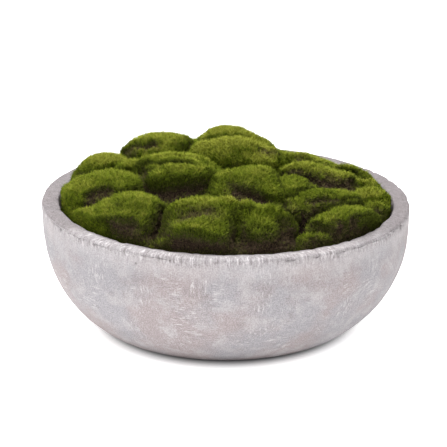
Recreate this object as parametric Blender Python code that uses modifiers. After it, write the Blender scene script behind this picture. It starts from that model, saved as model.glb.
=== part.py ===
"""Moss bowl: cushions of mood moss standing on a domed peat fill in a round, hand-cast stone bowl.

Metres, +Z up. The origin is the centre of the bowl's base, on the surface that it stands on, and -Y is
the front. Each moss cushion is a lump of its own that was pressed in between its neighbours, so its
solid is an ellipsoid, with lobes where it is folded, held back by the planes where it meets the other
cushions, by the peat below it and by the bowl round it. The solids reach to the tips of the moss.
"""

import math

import bmesh
import bpy
from mathutils import Matrix, Vector, noise

# Bowl
RIM_RADIUS = 0.203
BOWL_HEIGHT = 0.136
BASE_RADIUS = 0.140
WALL = 0.019
FLOOR = 0.021
OUTER_CURVE = (2.85, 1.11)  # exponents of the superellipse that the wall follows
INNER_FOOT = 0.115
RIM_TILT = math.radians(0.94)  # the hand-cast rim is this far off level, lower towards +X
EDGE_ROUND = 0.0026
BOWL_SEGMENTS = 64
OUTER_STEPS = 8
INNER_STEPS = 5

# Peat fill
PEAT_EDGE = 0.110
PEAT_CROWN = 0.147
PEAT_STEPS = 3

# Fits
GAP = 0.0003  # half of the gap between two cushions, and the gap round the peat
WALL_GAP = 0.0012

# Moss cushions
SEAT = 0.008  # how far over the peat a cushion's middle lies
BLEND = 11.0  # the higher, the flatter a cushion lies against what it meets
LUMPS = 0.05  # how far a cushion's outline wanders, as a share of its size
LUMP_SCALE = 1.6  # the higher, the more lumps round a cushion
SKYWARD = 0.35  # gives the upper side of a cushion more of its points than the underside

# name: (x, y, crown height, half length, half width, turn in degrees, lobes, detail)
# A lobe is (x, y, z from the cushion's middle, half length, half width, half height).
CUSHIONS = {
    "cushion_front_left": (
        -0.104, -0.098, 0.171, 0.060, 0.058, -8,
        [(-0.044, 0.012, -0.003, 0.038, 0.040, 0.026), (0.0, -0.032, 0.004, 0.044, 0.028, 0.024)], 3),
    "cushion_front_middle": (
        -0.024, -0.120, 0.176, 0.052, 0.060, 0, [(-0.014, -0.034, 0.0, 0.030, 0.028, 0.026)], 3),
    "cushion_front_right_of_middle": (
        0.038, -0.126, 0.168, 0.036, 0.056, 0,
        [(-0.016, 0.006, 0.0, 0.030, 0.040, 0.034), (0.028, -0.002, -0.004, 0.028, 0.038, 0.022)], 3),
    "cushion_front_right": (0.124, -0.100, 0.161, 0.064, 0.054, 22, [], 3),
    "cushion_front_right_low": (0.092, -0.143, 0.146, 0.028, 0.024, 28, [], 2),
    "cushion_left": (
        -0.120, -0.022, 0.174, 0.054, 0.054, 0, [(-0.036, -0.004, 0.0, 0.036, 0.040, 0.026)], 3),
    "cushion_middle_left": (
        -0.056, -0.004, 0.185, 0.064, 0.056, -4,
        [(0.006, -0.026, 0.012, 0.044, 0.026, 0.028), (0.036, -0.006, -0.004, 0.030, 0.034, 0.026)], 3),
    "cushion_middle": (
        0.024, -0.036, 0.178, 0.048, 0.050, 0, [(0.020, 0.002, 0.0, 0.034, 0.040, 0.026)], 3),
    "cushion_middle_right": (
        0.076, -0.026, 0.169, 0.036, 0.040, 0, [(-0.016, -0.026, -0.002, 0.020, 0.024, 0.022)], 3),
    "cushion_right": (0.102, -0.057, 0.162, 0.062, 0.038, 0, [], 3),
    "cushion_right_nub": (0.163, -0.045, 0.144, 0.022, 0.026, 70, [], 2),
    "cushion_right_edge": (0.158, -0.012, 0.150, 0.036, 0.028, -20, [], 2),
    "cushion_right_back": (
        0.098, 0.014, 0.163, 0.052, 0.040, 0,
        [(-0.014, 0.0, 0.001, 0.040, 0.036, 0.026), (0.036, -0.004, -0.006, 0.040, 0.030, 0.023)], 3),
    "cushion_right_rim": (0.142, 0.058, 0.153, 0.050, 0.034, -50, [], 3),
    "cushion_left_nub": (-0.104, 0.022, 0.174, 0.026, 0.026, 20, [], 2),
    "cushion_left_back": (-0.132, 0.052, 0.171, 0.044, 0.042, 18, [], 3),
    "cushion_back_left": (
        -0.074, 0.080, 0.187, 0.056, 0.048, 4, [(0.036, -0.004, -0.003, 0.034, 0.034, 0.032)], 3),
    "cushion_back_middle": (
        0.004, 0.066, 0.196, 0.052, 0.054, 0,
        [(0.046, 0.0, -0.007, 0.044, 0.044, 0.032), (0.002, -0.030, 0.014, 0.044, 0.028, 0.030)], 3),
    "cushion_back_right": (0.084, 0.090, 0.159, 0.048, 0.042, -30, [], 3),
    "cushion_far_left": (-0.100, 0.132, 0.150, 0.054, 0.046, 36, [], 3),
    "cushion_far_middle": (-0.024, 0.142, 0.158, 0.052, 0.048, 8, [], 3),
    "cushion_far_right": (0.050, 0.142, 0.145, 0.052, 0.046, -20, [], 3),
    "small_tuft": (0.069, -0.098, 0.160, 0.011, 0.011, 0, [], 2),
}


def material(name, colour, roughness):
    """A plain Principled finish."""
    made = bpy.data.materials.new(name)
    made.use_nodes = True
    shader = made.node_tree.nodes["Principled BSDF"]
    shader.inputs["Base Color"].default_value = (*colour, 1.0)
    shader.inputs["Roughness"].default_value = roughness
    shader.inputs["Metallic"].default_value = 0.0
    return made


def add_object(name, mesh, finish, collection):
    """Puts a mesh in the scene as a sub-part of its own, smooth where its faces meet at a low angle."""
    mesh.materials.clear()
    mesh.materials.append(finish)
    mesh.shade_smooth()
    mesh.set_sharp_from_angle(angle=math.radians(50))
    made = bpy.data.objects.new(name, mesh)
    collection.objects.link(made)
    return made


# ---------------------------------------------------------------- bowl and peat


def wall_radius(share, foot, rim):
    """Radius of a bowl-shaped wall at a share of its height, from foot to rim."""
    rise, spread = OUTER_CURVE
    return foot + (rim - foot) * (1 - (1 - share) ** rise) ** (1 / spread)


def inner_radius(z):
    """Radius of the bowl's inside at height z."""
    share = (z - FLOOR) / (BOWL_HEIGHT - FLOOR)
    return wall_radius(min(max(share, 0.0), 1.0), INNER_FOOT, RIM_RADIUS - WALL)


def peat_top(x, y):
    """Height of the peat's domed top over a point."""
    share = (x * x + y * y) / (RIM_RADIUS - WALL) ** 2
    return PEAT_EDGE + (PEAT_CROWN - PEAT_EDGE) * (1 - share)


def heights(low, high, steps):
    """Heights from low to high, closer together near low, where the wall curves most."""
    return [low + (high - low) * (k / steps) ** 1.5 for k in range(steps + 1)]


def turned(name, profile, segments, collection, rounded=0.0):
    """A mesh turned from a profile of (radius, z) points round the Z axis."""
    guide = bpy.data.meshes.new(name + "_profile")
    guide.from_pydata([(r, 0, z) for r, z in profile], [(k, k + 1) for k in range(len(profile) - 1)], [])
    spun = bpy.data.objects.new(name + "_profile", guide)
    collection.objects.link(spun)
    screw = spun.modifiers.new("Screw", "SCREW")
    screw.steps = segments
    screw.render_steps = segments
    screw.use_merge_vertices = True
    screw.merge_threshold = 0.0001
    if rounded:
        bevel = spun.modifiers.new("Bevel", "BEVEL")
        bevel.width = rounded
        bevel.segments = 2
        bevel.limit_method = "ANGLE"
        bevel.angle_limit = math.radians(40)
    graph = bpy.context.evaluated_depsgraph_get()
    mesh = bpy.data.meshes.new_from_object(spun.evaluated_get(graph))
    mesh.name = name
    bpy.data.objects.remove(spun)
    return mesh


def tilt_rim(mesh):
    """Leans the rim to +X. The base stays level, and the lean grows with the square of the height."""
    for vertex in mesh.vertices:
        share = vertex.co.z / BOWL_HEIGHT
        vertex.co.z -= math.tan(RIM_TILT) * vertex.co.x * share * share


def make_bowl(finish, collection):
    """The bowl: a thick cast wall on a flat base, open at the top."""
    inside = [(inner_radius(z), z) for z in heights(FLOOR, BOWL_HEIGHT, INNER_STEPS)]
    outside = [
        (wall_radius(z / BOWL_HEIGHT, BASE_RADIUS, RIM_RADIUS), z)
        for z in reversed(heights(0.0, BOWL_HEIGHT, OUTER_STEPS))
    ]
    profile = [(0.0, FLOOR), *inside, *outside, (0.0, 0.0)]
    mesh = turned("bowl", profile, BOWL_SEGMENTS, collection, EDGE_ROUND)
    tilt_rim(mesh)
    return add_object("bowl", mesh, finish, collection)


def make_peat(finish, collection):
    """The peat: it fills the bowl to under the rim and rises to a dome in the middle."""
    edge = inner_radius(PEAT_EDGE) - WALL_GAP
    rings = [edge * k / PEAT_STEPS for k in range(PEAT_STEPS + 1)]
    dome = [(r, peat_top(r, 0)) for r in rings]
    low = FLOOR + GAP
    levels = [low, *heights(FLOOR, BOWL_HEIGHT, INNER_STEPS)[1:]]
    side = [(inner_radius(z) - WALL_GAP, z) for z in reversed(levels) if z < PEAT_EDGE]
    mesh = turned("peat", [*dome, *side, (0.0, low)], BOWL_SEGMENTS, collection)
    return add_object("peat", mesh, finish, collection)


# ---------------------------------------------------------------- moss cushions


class Cushion:
    """A cushion's place and free shape, before its neighbours press on it."""

    def __init__(self, name, x, y, crown, length, width, turn, lobes, detail):
        self.name = name
        self.centre = Vector((x, y, peat_top(x, y) + SEAT))
        self.detail = detail
        self.spin = Matrix.Rotation(math.radians(turn), 3, "Z")
        body = (Vector((0, 0, 0)), Vector((length, width, crown - self.centre.z)))
        folds = [(Vector(lobe[:3]), Vector(lobe[3:])) for lobe in lobes]
        self.lobes = [body, *folds]

    def reach(self, direction):
        """How far the free shape goes from its centre along a direction, the lobes run together."""
        aim = self.spin.transposed() @ direction
        total = sum(ray_ellipsoid(aim, middle, size) ** BLEND for middle, size in self.lobes)
        wander = noise.noise(aim * LUMP_SCALE + self.centre / WALL)
        return total ** (1 / BLEND) * (1 + LUMPS * wander)

    def extent(self, direction):
        """How far the body alone reaches towards a neighbour."""
        return ray_ellipsoid(self.spin.transposed() @ direction, *self.lobes[0])


def ray_ellipsoid(direction, middle, size):
    """Where a ray from the origin leaves an ellipsoid, or 0 where it misses."""
    ray = Vector(d / s for d, s in zip(direction, size))
    start = Vector(-m / s for m, s in zip(middle, size))
    a = ray.dot(ray)
    b = ray.dot(start)
    root = b * b - a * (start.dot(start) - 1)
    if root < 0:
        return 0.0
    return max((math.sqrt(root) - b) / a, 0.0)


def meeting_planes(cushion, others):
    """(distance, normal) of each plane where the cushion meets another, seen from its centre."""
    planes = []
    for other in others:
        if other is cushion:
            continue
        between = other.centre - cushion.centre
        normal = between.normalized()
        near = cushion.extent(normal)
        far = other.extent(-normal)
        planes.append((between.length * near / (near + far) - GAP, normal))
    return planes


def clear(point):
    """True for a point over the peat and inside the bowl."""
    over_peat = point.z > peat_top(point.x, point.y) + 2 * GAP
    return over_peat and math.hypot(point.x, point.y) < inner_radius(point.z) - WALL_GAP


def way_out(centre, direction, limit):
    """How far a ray from the centre goes before it meets the peat or the bowl, found by halving."""
    if clear(centre + direction * limit):
        return math.inf
    near, far = 0.0, limit
    while far - near > GAP / 1000:
        middle = (near + far) / 2
        if clear(centre + direction * middle):
            near = middle
        else:
            far = middle
    return near


def pressed_reach(cushion, planes, direction):
    """How far the cushion reaches once everything round it holds it back, with soft edges between."""
    free = cushion.reach(direction)
    limits = [free, way_out(cushion.centre, direction, 1.5 * free)]
    for distance, normal in planes:
        towards = normal.dot(direction)
        if towards > 0:
            limits.append(distance / towards)
    return sum(limit**-BLEND for limit in limits) ** (-1 / BLEND)


def make_cushion(cushion, others, finish, collection):
    """One moss cushion, grown from a sphere to its pressed shape."""
    planes = meeting_planes(cushion, others)
    form = bmesh.new()
    bmesh.ops.create_icosphere(form, subdivisions=cushion.detail, radius=1.0)
    for vertex in form.verts:
        direction = (vertex.co.normalized() + Vector((0, 0, SKYWARD))).normalized()
        vertex.co = direction * pressed_reach(cushion, planes, direction)
    mesh = bpy.data.meshes.new(cushion.name)
    form.to_mesh(mesh)
    form.free()
    made = add_object(cushion.name, mesh, finish, collection)
    made.location = cushion.centre
    return made


def main():
    for old in list(bpy.data.objects):
        bpy.data.objects.remove(old)
    parts = bpy.data.collections.new("moss_bowl")
    bpy.context.scene.collection.children.link(parts)
    stone = material("cast_stone", (0.50, 0.47, 0.47), 0.85)
    peat = material("peat", (0.03, 0.02, 0.014), 1.0)
    moss = material("moss", (0.10, 0.14, 0.02), 0.95)
    make_bowl(stone, parts)
    make_peat(peat, parts)
    cushions = [Cushion(name, *row) for name, row in CUSHIONS.items()]
    for cushion in cushions:
        make_cushion(cushion, cushions, moss, parts)


main()
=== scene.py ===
"""The looks of the moss bowl: cushions of mood moss on peat in a round, limewashed cast stone bowl."""

import itertools
import math

import bmesh
import bpy
import numpy as np
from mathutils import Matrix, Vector
from mathutils.bvhtree import BVHTree


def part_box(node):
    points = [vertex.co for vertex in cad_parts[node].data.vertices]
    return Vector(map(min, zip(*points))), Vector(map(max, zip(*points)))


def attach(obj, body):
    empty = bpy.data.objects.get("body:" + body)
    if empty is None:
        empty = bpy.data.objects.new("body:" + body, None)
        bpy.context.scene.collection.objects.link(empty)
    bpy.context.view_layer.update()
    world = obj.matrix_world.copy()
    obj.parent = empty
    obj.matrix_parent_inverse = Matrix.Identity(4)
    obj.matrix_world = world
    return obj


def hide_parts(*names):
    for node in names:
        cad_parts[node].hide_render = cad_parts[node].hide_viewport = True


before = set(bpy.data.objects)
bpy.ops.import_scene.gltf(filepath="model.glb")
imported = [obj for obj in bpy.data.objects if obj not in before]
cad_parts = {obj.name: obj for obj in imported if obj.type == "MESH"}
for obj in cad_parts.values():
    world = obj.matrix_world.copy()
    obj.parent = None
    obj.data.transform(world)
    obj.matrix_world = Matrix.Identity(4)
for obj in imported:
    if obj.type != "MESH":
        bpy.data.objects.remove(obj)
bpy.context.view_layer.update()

# Bowl, as in part.py
RIM_RADIUS = 0.203
BOWL_HEIGHT = 0.136
BASE_RADIUS = 0.140
WALL = 0.019
FLOOR = 0.021
OUTER_CURVE = (2.85, 1.11)
INNER_FOOT = 0.115
RIM_TILT = math.radians(0.94)

# Bowl's surface
BOWL_SEGMENTS = 500
WALL_STEP = 0.0025
LIP_ROUND = 0.0030
BASE_ROUND = 0.0035
INSIDE_HIDDEN = 0.09  # how high over the floor the peat and the moss hide the inside

# Peat, as in part.py
PEAT_EDGE = 0.110
PEAT_CROWN = 0.147
PEAT_SWELL = 0.014  # how far crumbs fill the gaps between the cushions
PEAT_RINGS = 60
PEAT_SEGMENTS = 150

# Moss
SHRINK = (0.0008, 0.0038)  # how far the leaves stand out of a cushion's core, sideways and upwards
BROW = 0.0025  # how far a cushion's upper edge stands out over its front and back
SPREAD = np.array((0.20, 0.42))  # how much wider and deeper it gets from brow to foot, as shares of its size
FOOT_SPREAD = 0.5  # how much wider and deeper still it gets under its waist
WALL_GAP = 0.0045  # how far a cushion keeps from the inside of the bowl
TUFTS_PER_M2 = 420000
LEAST_RISE = -0.55  # upward part of the normal under which no leaves grow
PRESSED = 0.0012  # no leaves grow nearer than this to another cushion's core
ROOT_DEPTH = 0.0012
TUFT_SPREAD = 0.0012
LEAVES = 5  # leaves in a tuft
LEAF_LENGTH = 0.0052
LEAF_WIDTH = 0.00085
LEAF_WAIST = 0.55  # where a leaf bends and is widest, as a share of its length
CORE_ALONG = 0.28  # a core's colour is that of a leaf at this share of its length
CORE_TONE = 0.4
PALE_FOLD = 0.6  # how much paler moss with a bareness of -1 is, as painted light over shaded folds
MAP_COLUMNS = 16  # columns of the moss's bake map
MAP_LEAF = 0.006  # half a leaf's width on it

# Folds in the cushions. FRONT ones run along points given as shares across and up the cushion's box, TOP
# ones as shares across and back, LEFT ones as shares forwards and up and RIGHT ones as shares backwards and
# up. Then come the half width and the depth in millimetres, minus for one that stands out, and how bare and
# brown it is, which is partly painted shade in the folds, minus for paler, which is painted light over parts
# in shade.
FRONT = (0, -1, 0)
TOP = (0, 0, 1)
LEFT = (-1, 0, 0)
RIGHT = (1, 0, 0)
FOLDS = {
    "cushion_front_left": [
        (FRONT, [(0.00, 0.50), (0.06, 0.40)], 12, -10, -0.3),
        (FRONT, [(0.02, 0.35), (0.28, 0.30)], 14, 0, -0.9),
        (TOP, [(0.11, 0.30), (0.13, 0.95)], 17, 8, 0.0),
        (TOP, [(0.34, 0.30), (0.36, 0.95)], 11, 4, 0.0),
        (TOP, [(0.55, 0.62), (0.85, 0.60)], 8, 0, -0.1),
        (FRONT, [(0.12, 0.50), (0.30, 0.72), (0.60, 0.80)], 5, -3, -0.2),
        (FRONT, [(0.40, 0.90), (0.72, 0.88)], 5, 2.5, 0.1),
        (FRONT, [(0.38, 0.62), (0.60, 0.64)], 7, 6, 1.1),
        (FRONT, [(0.35, 0.42), (0.85, 0.45)], 6, 3, 0.6),
        (FRONT, [(0.96, 0.84), (0.95, 0.45)], 7, 4, 0.9),
        (RIGHT, [(0.05, 0.50), (0.80, 0.52)], 12, 5, 0.3)],
    "cushion_front_middle": [
        (TOP, [(0.15, 0.60), (0.85, 0.60)], 40, 5, 0.0),
        (LEFT, [(0.20, 0.45), (0.95, 0.38)], 13, 4, 0.4),
        (TOP, [(0.08, 0.45), (0.20, 0.50)], 12, -7, 0.0),
        (TOP, [(0.88, 0.52), (1.00, 0.50)], 12, -11, -0.5),
        (TOP, [(0.10, 0.56), (0.30, 0.66), (0.60, 0.66), (0.95, 0.60)], 8, 0, -0.6),
        (TOP, [(0.30, 0.26), (0.48, 0.32), (0.62, 0.33)], 13, 4.5, 0.85),
        (FRONT, [(0.20, 0.60), (0.36, 0.67), (0.50, 0.66), (0.66, 0.56), (0.82, 0.44)], 5, -4, -0.4),
        (FRONT, [(0.22, 0.42), (0.95, 0.38)], 8, 4, 1.0)],
    "cushion_front_right_of_middle": [
        (TOP, [(0.15, 0.60), (0.85, 0.60)], 40, 6, 0.0),
        (TOP, [(0.00, 0.55), (0.14, 0.58)], 12, -12, -0.6),
        (TOP, [(0.64, 0.55), (0.86, 0.50)], 11, -9, 0.0),
        (FRONT, [(0.00, 0.84), (0.02, 0.42)], 3.5, 5, 0.9),
        (FRONT, [(0.25, 0.56), (0.75, 0.56)], 14, 4, 0.15),
        (FRONT, [(0.10, 0.42), (0.90, 0.39)], 7, 4, 1.1),
        (FRONT, [(0.88, 0.72), (0.90, 0.48)], 7, 2, 0.6)],
    "cushion_front_right": [
        (TOP, [(0.15, 0.60), (0.85, 0.60)], 40, 4.5, 0.0),
        (TOP, [(0.12, 0.40), (0.32, 0.55)], 12, 3, 0.0),
        (FRONT, [(0.46, 0.78), (0.50, 0.62)], 5, 6, 1.2),
        (FRONT, [(0.68, 0.76), (0.69, 0.56)], 5, 6, 1.2),
        (FRONT, [(0.12, 0.55), (0.36, 0.56)], 7, 3, 0.5),
        (FRONT, [(0.40, 0.44), (0.80, 0.38)], 6, 3, 0.6)],
    "cushion_front_right_low": [
        (FRONT, [(0.30, 0.70), (0.70, 0.70)], 14, 1, 0.5),
        (TOP, [(0.55, 0.20), (0.60, 0.90)], 5, 5, 0.4)],
    "cushion_right": [
        (FRONT, [(0.00, 0.70), (0.08, 0.50)], 9, -7, 0.3),
        (TOP, [(0.36, 0.18), (0.50, 0.24), (0.66, 0.24)], 7, 4.5, 1.3),
        (FRONT, [(0.72, 0.80), (0.95, 0.72)], 5, 4, 0.2),
        (FRONT, [(0.05, 0.45), (0.40, 0.50)], 6, 3, 0.7)],
    "cushion_right_back": [
        (TOP, [(0.20, 0.38), (0.32, 0.32)], 5, 4, 1.0),
        (FRONT, [(0.75, 0.84), (1.00, 0.76)], 5, -3, 0.0),
        (FRONT, [(0.42, 0.66), (0.92, 0.50)], 9, 6, 1.4),
        (FRONT, [(0.65, 0.38), (0.95, 0.28)], 4, -2, 0.0)],
    "cushion_right_rim": [
        (TOP, [(0.35, 1.00), (0.78, 0.78), (1.00, 0.35)], 16, 6, 0.0),
        (TOP, [(0.30, 0.22), (0.55, 0.08), (0.80, 0.02)], 5, -3, 0.0),
        (TOP, [(0.22, 0.52), (0.48, 0.30), (0.68, 0.17)], 4.5, 5, 0.3),
        (TOP, [(0.20, 0.68), (0.46, 0.48), (0.72, 0.32)], 5, -3, 0.0)],
    "cushion_middle": [
        (TOP, [(0.12, 0.50), (0.22, 0.50)], 11, -4, -0.3),
        (TOP, [(0.72, 0.45), (0.82, 0.45)], 12, -3, -0.3),
        (FRONT, [(0.34, 0.58), (0.62, 0.54)], 8, 7, 1.2),
        (FRONT, [(0.58, 0.36), (0.72, 0.34)], 7, 5, 1.1),
        (FRONT, [(0.86, 0.54), (0.97, 0.44)], 6, -4, -0.4)],
    "cushion_middle_right": [
        (TOP, [(0.20, 0.50), (0.80, 0.50)], 30, 2, 0.0),
        (TOP, [(0.92, 0.10), (0.94, 0.90)], 12, 10, 0.0),
        (FRONT, [(0.96, 0.90), (1.00, 0.50)], 13, 8, 0.3)],
    "cushion_middle_left": [
        (TOP, [(0.10, 0.64), (0.30, 0.56), (0.55, 0.53), (0.72, 0.50)], 8, -3, 0.0),
        (TOP, [(0.03, 0.50), (0.13, 0.40), (0.32, 0.26), (0.50, 0.22), (0.68, 0.20)], 5.5, 7.5, 0.2),
        (FRONT, [(0.03, 0.45), (0.09, 0.70), (0.24, 0.84)], 5, 6, 0.2),
        (FRONT, [(0.00, 0.90), (0.03, 0.50)], 4, 4, 0.6),
        (FRONT, [(0.20, 0.66), (0.75, 0.66)], 11, -4, -0.2),
        (FRONT, [(0.08, 0.24), (0.38, 0.36), (0.73, 0.46)], 8, 3, 1.2)],
    "cushion_left": [
        (TOP, [(0.15, 0.60), (0.85, 0.60)], 40, 1.5, 0.0),
        (TOP, [(0.33, 0.05), (0.44, 0.09), (0.54, 0.09)], 7, 5, 1.4),
        (FRONT, [(0.00, 0.40), (0.15, 0.35)], 14, 0, -0.8),
        (LEFT, [(0.30, 0.40), (0.90, 0.40)], 16, 0, -0.6),
        (FRONT, [(0.62, 0.74), (0.88, 0.70)], 5, 3, 0.4),
        (FRONT, [(0.08, 0.38), (0.34, 0.40)], 6, 3, 0.5)],
    "cushion_left_back": [(FRONT, [(0.12, 0.56), (0.38, 0.58)], 6, 3, 0.4)],
    "cushion_left_nub": [(FRONT, [(0.78, 0.92), (0.80, 0.60)], 4, 3, 0.5)],
    "cushion_back_left": [
        (FRONT, [(0.10, 0.92), (0.22, 0.99)], 7, 3, 0.0),
        (TOP, [(0.05, 0.42), (0.19, 0.24), (0.45, 0.22)], 5, 4, 1.0),
        (FRONT, [(0.36, 0.92), (0.32, 0.76)], 4, 4, 0.2),
        (FRONT, [(0.74, 0.92), (0.79, 0.74)], 5, 3, 0.1),
        (FRONT, [(0.88, 0.93), (1.00, 0.88)], 9, -6, 0.0),
        (FRONT, [(0.93, 0.74), (0.97, 0.64)], 4, 3, 0.9)],
    "cushion_back_middle": [
        (TOP, [(0.26, 0.62), (0.50, 0.60)], 9, -2.5, 0.0),
        (TOP, [(0.04, 0.42), (0.25, 0.36), (0.45, 0.32), (0.66, 0.38)], 5, 6, 0.15),
        (TOP, [(0.92, 0.60), (1.00, 0.60)], 9, -4, 0.0),
        (FRONT, [(0.12, 0.58), (0.50, 0.62), (0.90, 0.52)], 15, -9, -0.3),
        (FRONT, [(0.94, 0.80), (1.02, 0.66)], 10, -6, 0.0),
        (FRONT, [(0.78, 0.68), (0.94, 0.55)], 5, 4, 0.9),
        (FRONT, [(0.50, 0.68), (0.56, 0.55)], 6, 2, 0.4),
        (FRONT, [(0.70, 0.55), (0.90, 0.48)], 4, -3, -0.3),
        (FRONT, [(0.28, 0.47), (0.70, 0.43)], 5, 4, 0.9)],
    "cushion_back_right": [
        (TOP, [(0.30, 0.60), (0.95, 0.60)], 22, 3.5, 0.0),
        (TOP, [(0.00, 0.45), (0.25, 0.40), (0.50, 0.36)], 14, -7, 0.0),
        (FRONT, [(0.43, 0.86), (0.57, 0.86)], 5, 2, 0.6),
        (FRONT, [(0.64, 0.82), (0.86, 0.72)], 4, 2, 0.5)],
    "cushion_right_edge": [(FRONT, [(0.30, 0.60), (0.90, 0.50)], 14, 0, -0.6)],
    "cushion_right_nub": [(FRONT, [(0.54, 0.84), (0.68, 0.72)], 5, 5, 1.0)],
    "small_tuft": [(TOP, [(0.45, 0.50), (0.55, 0.50)], 20, 0, 0.45)],
}

# How much paler than the rest a cushion is, minus for darker: partly its own tone and partly painted light,
# which lifts the shaded cushions at the back and dims the brightly lit ones at the front
PALER = {
    "cushion_front_left": -0.05,
    "cushion_front_middle": -0.03,
    "cushion_front_right_of_middle": -0.10,
    "cushion_front_right": -0.10,
    "cushion_front_right_low": -0.15,
    "cushion_left": -0.06,
    "cushion_left_nub": 0.15,
    "cushion_middle_left": 0.04,
    "cushion_middle": -0.14,
    "cushion_middle_right": -0.14,
    "cushion_right": -0.20,
    "cushion_right_edge": 0.10,
    "cushion_left_back": 0.36,
    "cushion_back_left": 0.14,
    "cushion_back_middle": 0.42,
    "cushion_right_back": 0.10,
    "cushion_right_rim": 0.18,
    "cushion_back_right": 0.10,
}

# Floor: how the painted contact shadow under the bowl is moved and stretched, the radii between which it
# fades out, and those between which the floor's own white glow comes in round the painted shadow
SHADOW_MOVE = (0, 0.012, 0)
SHADOW_STRETCH = (1.03, 1, 1)
SHADOW_FADE = (0.128, 0.153)
GLOW_FADE = (0.127, 0.161)

# Camera: how far off it is, how high over the bowl, how far it looks down, its lens and its place across
CAMERA_REACH = 2.4
CAMERA_RISE = math.radians(19.768)
CAMERA_PITCH = math.radians(18.902)
CAMERA_LENS = 173.07
CAMERA_X = -0.0027

random = np.random.default_rng(7)


# ---------------------------------------------------------------- noise


def lattice(cells, seed):
    """A fixed random number from 0 to 1 for each cell of whole numbers."""
    mixed = cells[:, 0] * 73856093 ^ cells[:, 1] * 19349663 ^ cells[:, 2] * 83492791 ^ seed * 2971215073
    mixed = (mixed ^ mixed >> 13) * 1274126177 & 0xFFFFFFFF
    mixed = (mixed ^ mixed >> 16) * 2246822519 & 0xFFFFFFFF
    return (mixed ^ mixed >> 15) / 0xFFFFFFFF


def noise(points, size, seed):
    """Smooth noise from -1 to 1, with lumps about size across. size is one number or three."""
    scaled = points / np.asarray(size) + seed * 7.31
    low = np.floor(scaled).astype(np.int64)
    part = scaled - low
    part = part * part * (3 - 2 * part)
    total = np.zeros(len(points))
    for corner in itertools.product((0, 1), repeat=3):
        share = np.where(corner, part, 1 - part).prod(1)
        total += share * lattice(low + corner, seed)
    return 2 * total - 1


def layered(points, size, seed, layers=3):
    """Noise with finer and weaker layers on top."""
    size = np.asarray(size, float)
    sizes = [size / 2**k for k in range(layers)]
    total = sum(noise(points, s, seed + k) / 2**k for k, s in enumerate(sizes))
    return total / sum(1 / 2**k for k in range(layers))


def ramp(values, low, high):
    """0 below low, 1 above high and smooth between."""
    share = np.clip((values - low) / (high - low), 0, 1)
    return share * share * (3 - 2 * share)


# ---------------------------------------------------------------- meshes


def vectors(items, name):
    """A three-number property of every vertex as an array."""
    found = np.empty(len(items) * 3, np.float32)
    items.foreach_get(name, found)
    return found.reshape(-1, 3).astype(float)


def add_piece(name, points, faces, material, node, attributes, bake_map=None):
    """A finished piece that stands for a CAD node. bake_map says where each point goes on a texture."""
    mesh = bpy.data.meshes.new(name)
    mesh.from_pydata(points, [], faces)
    for key, values in attributes.items():
        layer = mesh.attributes.new(key, "FLOAT", "POINT")
        layer.data.foreach_set("value", np.asarray(values, np.float32))
    mesh.materials.append(material)
    mesh.shade_smooth()
    mesh.validate()
    if bake_map is not None:
        corners = np.empty(len(mesh.loops), np.int32)
        mesh.loops.foreach_get("vertex_index", corners)
        places = bake_map[corners].ravel().astype(np.float32)
        mesh.uv_layers.new(name="OFBake").uv.foreach_set("vector", places)
    piece = bpy.data.objects.new(name, mesh)
    bpy.context.scene.collection.objects.link(piece)
    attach(piece, "root")
    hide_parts(node)


def quad_grid(rows, columns):
    """Quads between rows of points that close on themselves, row after row."""
    row, column = np.meshgrid(np.arange(rows - 1), np.arange(columns), indexing="ij")
    after = (column + 1) % columns
    quads = np.stack([row * columns + column, row * columns + after,
                      (row + 1) * columns + after, (row + 1) * columns + column], -1)
    return quads.reshape(-1, 4)


# ---------------------------------------------------------------- node materials


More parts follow.
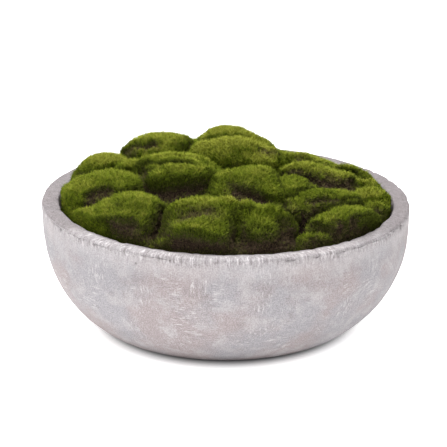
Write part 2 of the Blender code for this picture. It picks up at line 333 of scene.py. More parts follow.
class Nodes:
    """A short way to build a material's nodes."""

    def __init__(self, name):
        self.material = bpy.data.materials.new(name)
        self.material.use_nodes = True
        self.tree = self.material.node_tree
        self.shader = self.tree.nodes["Principled BSDF"]
        self.place = self.add("ShaderNodeTexCoord").outputs["Object"]

    def add(self, kind, **settings):
        """A new node with its settings."""
        made = self.tree.nodes.new(kind)
        for key, value in settings.items():
            setattr(made, key, value)
        return made

    def feed(self, socket, value):
        """A link into a socket, or a plain value for it."""
        if isinstance(value, bpy.types.NodeSocket):
            self.tree.links.new(value, socket)
        else:
            socket.default_value = value

    def attribute(self, name):
        """One of the numbers that a mesh's points carry."""
        return self.add("ShaderNodeAttribute", attribute_name=name).outputs["Fac"]

    def texture(self, scale, detail=3.0, roughness=0.55, stretch=(1, 1, 1), turn=(0, 0, 0), place=None):
        """Noise over the object, with about scale lumps to a metre."""
        mapping = self.add("ShaderNodeMapping")
        self.feed(mapping.inputs["Vector"], place or self.place)
        mapping.inputs["Scale"].default_value = stretch
        mapping.inputs["Rotation"].default_value = turn
        made = self.add("ShaderNodeTexNoise")
        self.feed(made.inputs["Vector"], mapping.outputs["Vector"])
        made.inputs["Scale"].default_value = scale
        made.inputs["Detail"].default_value = detail
        made.inputs["Roughness"].default_value = roughness
        return made.outputs["Fac"]

    def vector(self, operation, first, second=(0, 0, 0)):
        """A calculation with vectors: the node, because its result may be a vector or a number."""
        made = self.add("ShaderNodeVectorMath", operation=operation)
        self.feed(made.inputs[0], first)
        self.feed(made.inputs[1], second)
        return made

    def upright_place(self, radius, squeeze):
        """Where a point of a turned shape is: its place around at full size, along the profile squeezed."""
        flat = self.vector("MULTIPLY", self.place, (1, 1, 0)).outputs[0]
        way = self.vector("NORMALIZE", flat).outputs[0]
        ring = self.vector("MULTIPLY", way, (radius, radius, 0)).outputs[0]
        parts = self.add("ShaderNodeSeparateXYZ")
        self.feed(parts.inputs[0], self.place)
        joined = self.add("ShaderNodeCombineXYZ")
        along = self.math("ADD", self.vector("LENGTH", flat).outputs["Value"], parts.outputs["Z"])
        self.feed(joined.inputs["Z"], self.math("MULTIPLY", along, squeeze))
        return self.vector("ADD", ring, joined.outputs[0]).outputs[0]

    def math(self, operation, first, second=0.0):
        """A calculation with two numbers, its result kept from 0 to 1."""
        made = self.add("ShaderNodeMath", operation=operation, use_clamp=True)
        self.feed(made.inputs[0], first)
        self.feed(made.inputs[1], second)
        return made.outputs[0]

    def between(self, value, low, high, to_low=0.0, to_high=1.0):
        """A smooth step from to_low at low to to_high at high."""
        made = self.add("ShaderNodeMapRange", interpolation_type="SMOOTHSTEP")
        made.inputs["From Min"].default_value = low
        made.inputs["From Max"].default_value = high
        made.inputs["To Min"].default_value = to_low
        made.inputs["To Max"].default_value = to_high
        self.feed(made.inputs["Value"], value)
        return made.outputs["Result"]

    def mix(self, share, first, second, blend="MIX"):
        """A colour that goes from the first to the second."""
        made = self.add("ShaderNodeMix", data_type="RGBA", blend_type=blend)
        self.feed(made.inputs["Factor"], share)
        for socket, colour in zip((made.inputs[6], made.inputs[7]), (first, second)):
            self.feed(socket, (*colour, 1.0) if isinstance(colour, tuple) else colour)
        return made.outputs[2]

    def bump(self, height, strength, distance, under=None):
        """A normal for a bumpy surface, on top of another one's."""
        made = self.add("ShaderNodeBump")
        self.feed(made.inputs["Height"], height)
        made.inputs["Strength"].default_value = strength
        made.inputs["Distance"].default_value = distance
        if under:
            self.feed(made.inputs["Normal"], under)
        return made.outputs["Normal"]

    def finish(self, colour, roughness, normal=None):
        """The material with its last links made."""
        self.feed(self.shader.inputs["Base Color"], colour)
        self.feed(self.shader.inputs["Roughness"], roughness)
        if normal:
            self.feed(self.shader.inputs["Normal"], normal)
        return self.material


def stone_patches(n):
    """Taupe and cool grey patches under a pale veil, with brown stains: the colour and the veil."""
    warm, cool = (0.350, 0.298, 0.288), (0.326, 0.332, 0.346)
    patches = n.between(n.texture(11.0, 4.0, 0.6), 0.42, 0.60)
    colour = n.mix(patches, warm, cool)
    veil = n.between(n.texture(38.0, 6.0, 0.7), 0.48, 0.64)
    colour = n.mix(n.math("MULTIPLY", veil, 0.75), colour, (0.510, 0.502, 0.498))
    stains = n.between(n.texture(30.0, 5.0, 0.65, turn=(0.6, 0.3, 0.9)), 0.52, 0.72)
    colour = n.mix(n.math("MULTIPLY", stains, 0.65), colour, (0.245, 0.212, 0.204))
    return colour, veil


def stone_strokes(n, colour):
    """Pale and dark brush strokes, level in patches and upright elsewhere: the colour and the strokes."""
    upright = n.texture(520.0, 3.0, 0.65, stretch=(1, 1, 0.15))
    level = n.texture(560.0, 3.0, 0.65, stretch=(0.2, 0.2, 1))
    brushed = n.between(n.texture(16.0, 2.0, 0.5, turn=(1, 2, 3)), 0.45, 0.56)
    brushed = n.math("SUBTRACT", brushed, n.attribute("band"))
    strokes = n.mix(brushed, upright, level)
    where = n.between(n.texture(26.0, 3.0, 0.6, turn=(2, 1, 0)), 0.44, 0.60)
    pale = n.math("MULTIPLY", n.between(strokes, 0.52, 0.66), where)
    colour = n.mix(n.math("MULTIPLY", pale, 0.8), colour, (0.700, 0.690, 0.680))
    scored = n.math("MULTIPLY", n.between(strokes, 0.46, 0.30), where)
    colour = n.mix(n.math("MULTIPLY", scored, 0.55), colour, (0.210, 0.185, 0.180))
    return colour, strokes


def stone_rim(n, colour):
    """A pale band under the rim, a dark lip top, a flecked crust of lime, and pits painted nearly black as
    painted shade.
    """
    band, crust = n.attribute("band"), n.attribute("crust")
    colour = n.mix(n.math("MULTIPLY", band, 0.45), colour, (0.620, 0.610, 0.605))
    dashes = n.texture(430.0, 3.0, 0.7, place=n.upright_place(RIM_RADIUS, 0.3))
    lip_mottle = n.between(n.texture(190.0, 5.0, 0.7), 0.40, 0.66)
    lip = n.mix(lip_mottle, (0.095, 0.080, 0.080), (0.200, 0.177, 0.181))
    colour = n.mix(n.math("MULTIPLY", n.attribute("lip"), 0.9), colour, lip)
    colour = n.mix(n.math("MULTIPLY", crust, 0.8), colour, (0.375, 0.360, 0.360))
    flecks = n.math("MULTIPLY", crust, n.between(dashes, 0.52, 0.64))
    colour = n.mix(flecks, colour, (0.780, 0.770, 0.765))
    gaps = n.math("MULTIPLY", crust, n.between(dashes, 0.46, 0.38))
    colour = n.mix(gaps, colour, (0.200, 0.180, 0.177))
    # Painted shade: the pits are painted nearly black.
    return n.mix(n.math("MULTIPLY", n.attribute("pit"), 0.85), colour, (0.060, 0.052, 0.050))


def stone_material():
    """Cast stone with a brushed limewash and a fine grain, with painted shade that makes it a little darker
    towards the foot.
    """
    n = Nodes("cast_stone_look")
    colour, veil = stone_patches(n)
    colour, strokes = stone_strokes(n, colour)
    colour = stone_rim(n, colour)
    grain = n.texture(850.0, 3.0, 0.75)
    specks = n.mix(n.between(grain, 0.34, 0.66), (0.175, 0.155, 0.153), (0.660, 0.650, 0.645))
    colour = n.mix(0.36, colour, specks)
    height = n.math("ADD", n.math("MULTIPLY", grain, 0.35), n.math("MULTIPLY", strokes, 0.6))
    normal = n.bump(n.texture(130.0, 6.0, 0.7), 0.5, 0.0015)
    normal = n.bump(height, 0.6, 0.0008, normal)
    roughness = n.between(veil, 0.0, 1.0, 0.80, 0.92)
    # Painted shade: the stone's colour is a little darker towards the foot.
    shade = n.between(n.attribute("height"), 0.0, 1.0, 0.80, 0.93)
    colour = n.mix(1.0, colour, n.mix(shade, (0.0, 0.0, 0.0), (1.0, 0.960, 0.985)), "MULTIPLY")
    return n.finish(colour, roughness, normal)


def peat_material():
    """Dark brown peat, in crumbs and fibres."""
    n = Nodes("peat_look")
    crumbs = n.between(n.texture(260.0, 5.0, 0.7), 0.35, 0.70)
    colour = n.mix(crumbs, (0.012, 0.007, 0.006), (0.075, 0.048, 0.034))
    tips = n.between(n.attribute("along"), 0.2, 1.0)
    colour = n.mix(tips, n.mix(0.6, colour, (0.010, 0.006, 0.005)), colour)
    normal = n.bump(crumbs, 0.8, 0.0015)
    n.shader.inputs["Specular IOR Level"].default_value = 0.05
    return n.finish(colour, 0.95, normal)


def moss_material():
    """Moss: dark at the root, yellow-green at the tip, brown and stringy where it is bare, its paleness and
    brown partly painted light and shade.
    """
    n = Nodes("moss_look")
    along, tone, bare_and_painted_light = n.attribute("along"), n.attribute("tone"), n.attribute("bare_and_painted_light")
    green = n.mix(n.between(along, 0.0, 0.6), (0.015, 0.020, 0.003), (0.090, 0.128, 0.007))
    green = n.mix(n.between(along, 0.4, 1.0), green, (0.210, 0.268, 0.019))
    yellow = n.mix(n.between(along, 0.1, 0.9), (0.064, 0.074, 0.004), (0.365, 0.390, 0.052))
    dark = n.mix(n.between(along, 0.0, 1.0), (0.013, 0.015, 0.003), (0.098, 0.122, 0.014))
    # Painted light: the tone that picks dark green, green and yellow is raised on upward-facing tufts, over
    # shaded folds and on some cushions.
    green = n.mix(n.between(tone, 0.0, 0.45), dark, green)
    colour = n.mix(n.between(tone, 0.45, 1.0), green, yellow)
    brown = n.mix(n.between(along, 0.0, 1.0), (0.021, 0.012, 0.009), (0.112, 0.077, 0.050))
    # Painted shade: the bareness brown is laid into the folds too, not only where the moss is really brown.
    colour = n.mix(bare_and_painted_light, colour, brown)
    n.shader.inputs["Specular IOR Level"].default_value = 0.08
    return n.finish(colour, n.between(along, 0.0, 1.0, 0.95, 0.75))


# ---------------------------------------------------------------- bowl and peat


def wall_radius(share, foot, rim):
    """Radius of a bowl-shaped wall at a share of its height, from foot to rim."""
    rise, spread = OUTER_CURVE
    return foot + (rim - foot) * (1 - (1 - share) ** rise) ** (1 / spread)


def rounded_corner(corner, before, after, radius, steps):
    """Points on an arc-like curve that rounds off a profile's corner."""
    corner, before, after = (np.asarray(p, float) for p in (corner, before, after))
    start = corner + (before - corner) / np.linalg.norm(before - corner) * radius
    end = corner + (after - corner) / np.linalg.norm(after - corner) * radius
    share = np.linspace(0, 1, steps)[:, None]
    return (1 - share) ** 2 * start + 2 * share * (1 - share) * corner + share**2 * end


def bowl_profile():
    """(radius, z) points from the middle of the inside, over the rim, to the middle of the base."""
    depth = BOWL_HEIGHT - FLOOR
    hidden_z = np.linspace(0, INSIDE_HIDDEN, 8, endpoint=False)
    inner_z = np.concatenate([hidden_z, np.linspace(INSIDE_HIDDEN, depth, 14)])
    inside = [(wall_radius(z / depth, INNER_FOOT, RIM_RADIUS - WALL), z + FLOOR)
              for z in inner_z[:-1] if z + FLOOR < BOWL_HEIGHT - LIP_ROUND]
    shares = 1 - np.linspace(0, 1, 400) ** 0.5
    outside = np.array([(wall_radius(s, BASE_RADIUS, RIM_RADIUS), s * BOWL_HEIGHT) for s in shares])
    run = np.concatenate([[0], np.cumsum(np.linalg.norm(np.diff(outside, axis=0), axis=1))])
    count = round(run[-1] / WALL_STEP)
    places = np.linspace(LIP_ROUND, run[-1] - BASE_ROUND, count)
    wall = np.stack([np.interp(places, run, outside[:, k]) for k in (0, 1)], 1)
    inner_lip = (RIM_RADIUS - WALL, BOWL_HEIGHT)
    outer_lip = (RIM_RADIUS, BOWL_HEIGHT)
    flat = np.linspace(RIM_RADIUS - WALL + LIP_ROUND, RIM_RADIUS - LIP_ROUND, 8)[1:-1]
    top = [(r, BOWL_HEIGHT) for r in flat]
    lips = [rounded_corner(inner_lip, inside[-1], outer_lip, LIP_ROUND, 5),
            rounded_corner(outer_lip, inner_lip, wall[1], LIP_ROUND, 5)]
    foot = rounded_corner((BASE_RADIUS, 0.0), wall[-1], (0.0, 0.0), BASE_ROUND, 5)
    base = [(BASE_RADIUS * s, 0.0) for s in (0.8, 0.4, 0.02)]
    return np.concatenate([[(0.002, FLOOR)], inside, lips[0], top, lips[1], wall, foot, base])


def turned(profile):
    """A profile turned all round: its points, their outward normals, radii, heights and angles."""
    turns = np.linspace(0, 2 * math.pi, BOWL_SEGMENTS, endpoint=False)
    radius, z = (np.repeat(profile[:, k], BOWL_SEGMENTS) for k in (0, 1))
    angle = np.tile(turns, len(profile))
    points = np.stack([radius * np.cos(angle), radius * np.sin(angle), z], 1)
    slope = np.gradient(profile, axis=0)
    outward = np.stack([slope[:, 1], slope[:, 0]], 1) * (-1, 1)
    outward /= np.linalg.norm(outward, axis=1)[:, None]
    out, up = (np.repeat(outward[:, k], BOWL_SEGMENTS) for k in (0, 1))
    normal = np.stack([out * np.cos(angle), out * np.sin(angle), up], 1)
    return points, normal, radius, z, angle


def rim_marks(points, radius, under_rim, angle):
    """Where the bowl has a darker lip top, a pale band and a crust of lime, which hides the front of the
    lip.
    """
    outer = radius > RIM_RADIUS - 0.4 * WALL
    lip = ramp(-under_rim, -0.0035, -0.0012) * (radius > RIM_RADIUS - 1.1 * WALL)
    band = ramp(under_rim, 0.001, 0.004) * ramp(-under_rim, -0.030, -0.008) * outer
    crust = np.exp(-(((under_rim - 0.005) / 0.0045) ** 2)) * outer * ramp(under_rim, 0.0002, 0.0020)
    crust = np.clip(crust * (0.75 + 0.9 * layered(points, 0.02, 31)), 0, 1)
    front = ramp(-np.sin(angle) + 0.15 * noise(points, 0.03, 33), 0.45, 0.85)
    limed = front * ramp(radius, RIM_RADIUS - 0.80 * WALL, RIM_RADIUS - 0.60 * WALL)
    limed = limed * ramp(-under_rim, -0.007, -0.002)
    return {"lip": lip * (1 - limed), "band": band, "crust": np.maximum(crust, limed)}


def uneven(points, radius, under_rim, crust):
    """How far the hand-made bowl's points stand out, and how deep in a pit they are."""
    to_edge = np.minimum(abs(radius - RIM_RADIUS), abs(radius - RIM_RADIUS + WALL))
    edge = np.exp(-((to_edge / 0.004) ** 2))
    edge *= np.exp(-((under_rim / 0.004) ** 2))
    push = 0.0007 * layered(points, 0.07, 1)
    push += 0.00030 * layered(points, (0.012, 0.012, 0.009), 5)
    push += 0.00020 * layered(points, 0.0055, 9, 2)
    push -= edge * 0.0015 * ramp(layered(points, 0.011, 13), -0.15, 0.5)
    push += crust * 0.0005 * ramp(layered(points, (0.0035, 0.0035, 0.0045), 17, 2), 0.0, 0.4)
    pits = ramp(noise(points, 0.0075, 21), 0.62, 0.80)
    near_rim = np.exp(-((under_rim - 0.008) / 0.010) ** 2)
    pits *= np.clip(near_rim * 1.1 + 0.12, 0, 1) * ramp(noise(points, 0.05, 23), -0.1, 0.3)
    return push - 0.0012 * pits, pits


def make_bowl(material):
    """The bowl: a turned shape made uneven by hand, with a chipped lip and pits, and a rim that dips."""
    profile = bowl_profile()
    points, normal, radius, z, angle = turned(profile)
    under_rim = BOWL_HEIGHT - z
    marks = rim_marks(points, radius, under_rim, angle)
    push, pits = uneven(points, radius, under_rim, marks["crust"])
    push *= ramp(z, 0.0, 0.006)
    points += normal * push[:, None]
    points[:, 2] -= math.tan(RIM_TILT) * points[:, 0] * (z / BOWL_HEIGHT) ** 2

    faces = quad_grid(len(profile), BOWL_SEGMENTS)[:, ::-1].tolist()
    faces.append(list(range(BOWL_SEGMENTS)))
    last = len(points) - BOWL_SEGMENTS
    faces.append(list(range(last, len(points)))[::-1])
    marks["pit"] = ramp(pits, 0.3, 0.9)
    marks["height"] = z / BOWL_HEIGHT
    add_piece("bowl_look", points, faces, material, "bowl", marks)


def peat_top(x, y):
    """Height of the peat's domed top over a point."""
    share = (x * x + y * y) / (RIM_RADIUS - WALL) ** 2
    return PEAT_EDGE + PEAT_SWELL + (PEAT_CROWN - PEAT_EDGE) * (1 - share)


def make_peat(material, others):
    """The peat's crumbly top, with a plain side and underside where nothing shows."""
    low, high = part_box("peat")
    edge = high.x
    rings = np.concatenate([np.linspace(0.002, edge, PEAT_RINGS), [edge * 0.93, edge * 0.66, 0.002]])
    turns = np.linspace(0, 2 * math.pi, PEAT_SEGMENTS, endpoint=False)
    radius, angle = np.repeat(rings, len(turns)), np.tile(turns, len(rings))
    x, y = radius * np.cos(angle), radius * np.sin(angle)
    points = np.stack([x, y, peat_top(x, y)], 1)
    under = len(turns) * PEAT_RINGS
    points[:under, 2] += 0.0022 * layered(points[:under], 0.006, 41) - 0.001
    points[under:, 2] = np.repeat([0.065, low.z + 0.001, low.z + 0.001], len(turns))
    faces = quad_grid(len(rings), len(turns))[:, ::-1].tolist()
    faces.append(list(range(len(turns))))
    faces.append(list(range(len(points) - len(turns), len(points)))[::-1])
    crumbs = quad_grid(PEAT_RINGS, len(turns))[:, ::-1]
    bed = points, surface_normals(points, crumbs), crumbs, np.ones(len(points))
    ring, fibre_faces, marks = leaves(bed, others, 900)
    faces += (fibre_faces + len(points)).tolist()
    along = np.concatenate([np.full(len(points), 0.3), marks["along"]])
    flat = 0.5 + 0.5 * points[:, :2] / edge
    flat[:under, 0] *= 0.45
    flat[under:, 0] = 0.46 + 0.04 * flat[under:, 0]
    bake_map = np.concatenate([flat, leaf_cells(len(ring) // 4)])
    together = np.concatenate([points, ring])
    add_piece("peat_look", together, faces, material, "peat", {"along": along}, bake_map)


# ---------------------------------------------------------------- moss


def smooth_core(node):
    """A CAD cushion's surface, rounded and refined: points, outward normals and quads."""
    form = bmesh.new()
    form.from_mesh(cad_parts[node].data)
    bmesh.ops.remove_doubles(form, verts=form.verts, dist=1e-5)
    coarse = bpy.data.meshes.new(node + "_coarse")
    form.to_mesh(coarse)
    levels = 2 if len(form.faces) > 200 else 3
    form.free()
    holder = bpy.data.objects.new(node + "_coarse", coarse)
    bpy.context.scene.collection.objects.link(holder)
    rounding = holder.modifiers.new("Subdivision", "SUBSURF")
    rounding.levels = levels
    rounding.render_levels = levels
    graph = bpy.context.evaluated_depsgraph_get()
    fine = holder.evaluated_get(graph).to_mesh()
    points, normals = vectors(fine.vertices, "co"), vectors(fine.vertex_normals, "vector")
    quads = np.empty(len(fine.polygons) * 4, np.int32)
    fine.polygons.foreach_get("vertices", quads)
    bpy.data.objects.remove(holder)
    return points, normals, quads.reshape(-1, 4)


def surface_normals(points, quads):
    """Outward normals of a quad mesh's points."""
    corners = points[quads]
    face = np.cross(corners[:, 2] - corners[:, 0], corners[:, 3] - corners[:, 1])
    total = np.zeros_like(points)
    for k in range(4):
        np.add.at(total, quads[:, k], face)
    return total / np.maximum(np.linalg.norm(total, axis=1), 1e-12)[:, None]


def fold_share(spots, line, half_width):
    """How strongly a fold along a line acts on flat spots: 1 on the line, fading past its half width."""
    off = np.full(len(spots), 1e9)
    for start, end in itertools.pairwise(line):
        run = end - start
        share = np.clip((spots - start) @ run / max(run @ run, 1e-12), 0, 1)
        off = np.minimum(off, np.linalg.norm(spots - start - share[:, None] * run, axis=1))
    return np.exp(-((off / half_width) ** 2))


def random_folds(seed):
    """Folds for the sides of a cushion that FOLDS says nothing about, each with the way it faces."""
    own = np.random.default_rng(seed + 50)
    for turn in (60, 90, 120):
        angle = math.radians(turn + own.uniform(-12, 12))
        x, z = own.uniform(0.3, 0.7), own.uniform(0.6, 0.85)
        run, rise = own.uniform(0.15, 0.3), own.uniform(-0.08, 0.08)
        path = [(x - run, z - rise), (x + run, z + rise)]
        half_width, depth, brown = own.uniform(5, 8), own.uniform(2, 6), own.uniform(0.3, 1.2)
        yield (math.cos(angle), math.sin(angle), 0), path, half_width, depth, brown


def reach(faces_to, path):
    """How far round from where it faces a fold acts: the least and most cosine of the angle to it."""
    if faces_to == TOP or faces_to == FRONT and np.mean(path, axis=0)[1] > 0.86:
        return -0.25, 0.15
    return (0.0, 0.3) if faces_to in (FRONT, LEFT, RIGHT) else (0.5, 0.8)


def folded(points, normals, folds, seed):
    """How far a cushion's folds press its points in, and the bareness they give them: brown that is partly
    real bareness and partly painted shade in the folds, and below 0 painted light that makes the moss paler.
    """
    dent, bare_and_painted_light = np.zeros(len(points)), np.zeros(len(points))
    wobble = np.stack([noise(points, 0.010, seed + k) for k in (7, 8)], 1) * 0.0022
    for faces_to, path, half_width, depth, brown in folds:
        right = (1, 0, 0) if faces_to == TOP else (-faces_to[1], faces_to[0], 0)
        up = np.cross(faces_to, right)
        flat = np.stack([points @ right, points @ up], 1)
        least, span = flat.min(0), np.ptp(flat, axis=0)
        in_sight = ramp(normals @ faces_to, *reach(faces_to, path))
        share = fold_share(flat - least + wobble, np.array(path) * span, half_width / 1000) * in_sight
        dent += depth / 1000 * share
        # A fold's brown is partly real bareness and partly painted shade. Below 0 it is painted light that
        # makes the moss paler.
        bare_and_painted_light += brown * share
    return dent, bare_and_painted_light


def spread_out(points, normals, share_z, middle, seed):
    """A cushion's points with a spreading foot and an overhanging brow, kept inside the bowl's wall."""
    below_brow = np.clip(1 - share_z / 0.85, 0, 1)[:, None]
    below_waist = np.clip(1 - share_z / 0.45, 0, 1)[:, None]
    widening = SPREAD * below_brow + FOOT_SPREAD * below_waist**2
    points[:, :2] += (points - middle)[:, :2] * widening
    brow = np.exp(-(((share_z - 0.90) / 0.09) ** 2)) - 0.6 * np.exp(-(((share_z - 0.70) / 0.10) ** 2))
    brow *= abs(normals[:, 1]) * (1 + 0.6 * noise(points, 0.03, seed + 13))
    points[:, 1] += BROW * brow * np.sign(normals[:, 1])
    out = np.hypot(points[:, 0], points[:, 1])
    share = np.clip((points[:, 2] - FLOOR) / (BOWL_HEIGHT - FLOOR), 0, 1)
    limit = wall_radius(share, INNER_FOOT, RIM_RADIUS - WALL) - WALL_GAP
    points[:, :2] *= np.minimum(1, limit / out)[:, None]
    return points


def shape_core(node, seed):
    """A cushion's core with folds and a spreading foot, and the bareness of each of its points, which in the
    folds is partly painted shade and, below 0, painted light.
    """
    points, normals, quads = smooth_core(node)
    low, high = points.min(0), points.max(0)
    size = high - low
    share_z = (points[:, 2] - low[2]) / size[2]
    shrink = np.interp(normals[:, 2], (0, 1), SHRINK) * min(1, size[0] / 0.05)
    push = -shrink + 0.0014 * layered(points, 0.024, seed) + 0.0008 * noise(points, 0.009, seed + 3)
    bare_and_painted_light = 0.4 * ramp(-share_z + 0.16 * layered(points, 0.02, seed + 5), -0.46, -0.16)
    dent, fold_bare_and_painted_light = folded(points, normals, FOLDS.get(node, []) + list(random_folds(seed)), seed)
    points = points + normals * (push - dent)[:, None]
    points = spread_out(points, normals, share_z, (low + high) / 2, seed)
    return points, surface_normals(points, quads), quads, np.clip(bare_and_painted_light + fold_bare_and_painted_light, -1, 1)


def scatter(points, normals, quads, density, values):
    """Random places on a quad mesh by area: position, normal and a value carried over from its points."""
    a, b, c, d = (points[quads[:, k]] for k in range(4))
    area = 0.5 * np.linalg.norm(np.cross(c - a, d - b), axis=1)
    wanted = area * density
    count = np.floor(wanted + random.random(len(wanted))).astype(int)
    chosen = np.repeat(np.arange(len(quads)), count)
    u, v = random.random((2, len(chosen)))
    shares = np.stack([(1 - u) * (1 - v), u * (1 - v), u * v, (1 - u) * v], 1)
    picked = quads[chosen]
    place = np.einsum("ik,ikj->ij", shares, points[picked])
    normal = np.einsum("ik,ikj->ij", shares, normals[picked])
    normal /= np.linalg.norm(normal, axis=1)[:, None]
    return place, normal, (shares * values[picked]).sum(1)


def unit(directions):
    """Directions with a length of 1."""
    return directions / np.maximum(np.linalg.norm(directions, axis=1), 1e-12)[:, None]


def in_the_open(place, others):
    """Which places aren't inside or against another cushion's core."""
    free = np.ones(len(place), bool)
    for low, high, tree in others:
        near = np.flatnonzero(free & np.all((place > low) & (place < high), axis=1))
        for i in near:
            spot = Vector(place[i])
            found, normal, *_ = tree.find_nearest(spot, 0.02)
            if found and (spot - found).dot(normal) < PRESSED:
                free[i] = False
    return free


def tuft_tone(place, normal, paler, seed):
    """How pale each tuft is: in streaks and in patches, paler on top as painted light from above, and raised
    by paler.
    """
    patch = layered(place, 0.02, seed + 11)
    streak = layered(place, (0.0028, 0.0028, 0.012), seed + 12, 2)
    # Painted light: tufts on upward-facing parts are paler, as where light falls from above.
    tone = 0.03 + 0.2 * patch + 0.3 * streak + 0.68 * ramp(normal[:, 2], 0.60, 0.98)
    return tone + (paler + 0.12 * random.standard_normal(len(place)))


def leaf_points(place, normal, stand, tall):
    """Four points for each leaf of each tuft: its root, one side, its tip and the other side."""
    root = np.repeat(place, LEAVES, 0)
    count = len(root)
    fan = unit(random.standard_normal((count, 3)))
    root = root + fan * TUFT_SPREAD * random.random((count, 1)) - np.repeat(normal, LEAVES, 0) * ROOT_DEPTH
    way = unit(np.repeat(stand, LEAVES, 0) + 0.26 * fan)
    top = np.repeat(ramp(normal[:, 2], 0.3, 0.9), LEAVES)[:, None]
    side = unit(np.cross(way, unit(random.standard_normal((count, 3)))))
    bend = unit(np.cross(side, way)) * random.choice([-1, 1], (count, 1)) * (0.15 + 0.4 * top)
    long = (np.repeat(tall, LEAVES) * (0.7 + 0.6 * random.random(count)))[:, None]
    wide = (LEAF_WIDTH * (0.7 + 0.6 * random.random(count)))[:, None] / 2
    middle = root + way * long * LEAF_WAIST
    tip = root + (way + bend) * long
    return np.stack([root, middle + side * wide, tip, middle - side * wide], 1).reshape(-1, 3)


def leaves(core, others, seed, paler=0.0):
    """Tufts of thin bent leaves over the open parts of a core: points, faces and marks along the leaves."""
    points, normals, quads, bare_and_painted_light = core
    showing = normals[:, 2] > LEAST_RISE
    density = TUFTS_PER_M2 * showing[quads].mean(1)
    place, normal, bare_and_painted_light = scatter(points, normals, quads, density, bare_and_painted_light)
    free = in_the_open(place, others)
    place, normal, bare_and_painted_light = place[free], normal[free], bare_and_painted_light[free]
    # Painted light: tufts where the bareness is below 0 are paler.
    paler = paler - PALE_FOLD * np.minimum(bare_and_painted_light, 0)
    bare_and_painted_light = np.maximum(bare_and_painted_light, 0)
    ragged = 0.35 * (bare_and_painted_light > 0.12) * random.standard_normal(len(bare_and_painted_light)) * (1 - 0.5 * bare_and_painted_light)
    bare_and_painted_light = np.clip(bare_and_painted_light + ragged, 0, 1)
    tone = tuft_tone(place, normal, paler, seed)
    sweep = np.stack([noise(place, 0.03, seed + k) for k in (21, 22, 23)], 1)
    stand = unit(0.45 * normal + np.array([0, 0, 0.85]) + 0.2 * sweep)
    stand = unit(stand + 0.5 * bare_and_painted_light[:, None] * random.standard_normal((len(place), 3)))
    tall = LEAF_LENGTH * (1 - 0.25 * bare_and_painted_light) * (0.8 + 0.4 * random.random(len(place)))
    ring = leaf_points(place, normal, stand, tall)
    count = len(ring) // 4
    first = np.arange(count)[:, None] * 4
    faces = np.concatenate([first + [0, 1, 3], first + [1, 2, 3]])
    along = np.tile([0.0, LEAF_WAIST, 1.0, LEAF_WAIST], count)
    marks = {"along": along, "tone": np.repeat(tone, LEAVES * 4), "bare_and_painted_light": np.repeat(bare_and_painted_light, LEAVES * 4)}
    return ring, faces, marks


def leaf_cells(count):
    """A bake map that gives each leaf its own cell in the right half."""
    rows = math.ceil(math.sqrt(count / 2))
    columns = math.ceil(count / rows)
    row, column = np.divmod(np.arange(count), columns)
    cell = np.stack([0.5 + 0.5 * column / columns, row / rows], 1)
    shape = np.array([(0.5, 0.1), (0.85, 0.5), (0.5, 0.9), (0.15, 0.5)]) * (0.5 / columns, 1 / rows)
    return (cell[:, None] + shape).reshape(-1, 2)


def moss_map(points, count, marks):
    """A bake map that puts moss of one colour in one place.

    It has columns by bareness, with the tone up them and leaves across them. Every other column is mirrored,
    so that colours run on from one to the next. The core's points, which are the first count ones, have the
    last column, by bareness.
    """
    column = np.round(marks["bare_and_painted_light"] * (MAP_COLUMNS - 2))
    share = np.where(column % 2, 1 - marks["along"], marks["along"])
    across = column + 0.1 + 0.8 * share
    up = np.clip(marks["tone"], 0, 1)
    up[count:] += MAP_LEAF * np.tile([0, 1, 0, -1], (len(points) - count) // 4)
    left, right = points[:count, 0].min(), points[:count, 0].max()
    across[:count] = MAP_COLUMNS - 1 + 0.1 + 0.8 * (points[:count, 0] - left) / (right - left)
    up[:count] = marks["bare_and_painted_light"][:count]
    return np.stack([across / MAP_COLUMNS, 0.02 + 0.96 * up], 1)


def blocker(points, quads):
    """A core's box, a little larger, and a tree to look up its nearest point."""
    tree = BVHTree.FromPolygons(points.tolist(), quads.tolist())
    return points.min(0) - 0.003, points.max(0) + 0.003, tree


def make_cushion(node, core, others, seed, material):
    """One moss cushion: its core and its leaves in one mesh."""
    points, _, quads, bare_and_painted_light = core
    count = len(points)
    ring, leaf_faces, marks = leaves(core, others, seed, PALER.get(node, 0.0))
    faces = quads.tolist() + (leaf_faces + count).tolist()
    own = {"along": np.full(count, CORE_ALONG), "tone": np.full(count, CORE_TONE)}
    own["bare_and_painted_light"] = np.maximum(bare_and_painted_light, 0)
    together = {key: np.concatenate([own[key], marks[key]]) for key in own}
    every = np.concatenate([points, ring])
    bake_map = moss_map(every, count, together)
    add_piece(node + "_look", every, faces, material, node, together, bake_map)


def make_filling(material, peat):
    """All the cushions and the peat. Leaves grow only where a cushion isn't pressed against another."""
    nodes = sorted(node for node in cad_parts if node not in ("bowl", "peat"))
    cores = [shape_core(node, 100 * number) for number, node in enumerate(nodes)]
    blockers = [blocker(points, quads) for points, _, quads, _ in cores]
    for number, node in enumerate(nodes):
        others = blockers[:number] + blockers[number + 1 :]
        make_cushion(node, cores[number], others, 100 * number, material)
    make_peat(peat, blockers)


# ---------------------------------------------------------------- stage


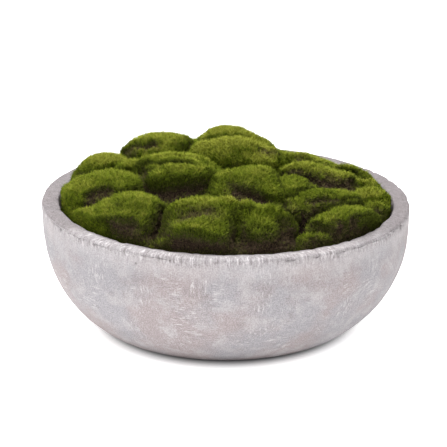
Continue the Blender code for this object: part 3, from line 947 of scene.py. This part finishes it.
def make_floor():
    """A plain pale floor with a painted contact shadow close round the bowl's foot, where its colour darkens
    and its glow fades out.
    """
    bpy.ops.mesh.primitive_plane_add(size=16)
    floor = bpy.context.object
    floor.name = "floor"
    n = Nodes("floor_look")
    # Painted contact shadow: close round the bowl's foot the floor's colour darkens and its glow fades out.
    moved = n.vector("ADD", n.place, SHADOW_MOVE).outputs[0]
    out = n.vector("LENGTH", n.vector("MULTIPLY", moved, SHADOW_STRETCH).outputs[0]).outputs["Value"]
    glow = n.between(out, *GLOW_FADE, 0.0, 0.8)
    n.shader.inputs["Emission Color"].default_value = (1, 1, 1, 1)
    n.feed(n.shader.inputs["Emission Strength"], glow)
    colour = n.mix(n.between(out, *SHADOW_FADE), (0.35, 0.35, 0.36), (0.9, 0.9, 0.9))
    floor.data.materials.append(n.finish(colour, 0.8))


def add_light(name, location, size, power, target=(0, 0, 0.1)):
    """A soft square light that faces the target."""
    data = bpy.data.lights.new(name, "AREA")
    data.size = size
    data.energy = power
    light = bpy.data.objects.new(name, data)
    bpy.context.scene.collection.objects.link(light)
    light.location = location
    x, y, z = np.array(target) - np.array(location)
    light.rotation_euler = (math.atan2(math.hypot(x, y), -z), 0, math.atan2(y, x) - math.pi / 2)


def make_stage():
    """Soft studio light, a white surround and the camera."""
    make_floor()
    world = bpy.data.worlds.new("surround")
    bpy.context.scene.world = world
    world.use_nodes = True
    surround = world.node_tree.nodes["Background"]
    surround.inputs["Color"].default_value = (1, 1, 1, 1)
    surround.inputs["Strength"].default_value = 0.45
    add_light("overhead", (-0.3, 0.3, 1.9), 1.4, 53)
    add_light("front", (-1.3, -3.6, 2.0), 2.2, 39)
    bpy.context.scene.view_settings.view_transform = "Standard"

    data = bpy.data.cameras.new("camera")
    data.lens = CAMERA_LENS
    data.sensor_width = 36
    camera = bpy.data.objects.new("camera", data)
    bpy.context.scene.collection.objects.link(camera)
    height = BOWL_HEIGHT / 2 + CAMERA_REACH * math.sin(CAMERA_RISE)
    camera.location = (CAMERA_X, -CAMERA_REACH * math.cos(CAMERA_RISE), height)
    camera.rotation_euler = (math.pi / 2 - CAMERA_PITCH, 0, 0)
    bpy.context.scene.camera = camera


make_stage()
make_bowl(stone_material())
make_filling(moss_material(), peat_material())
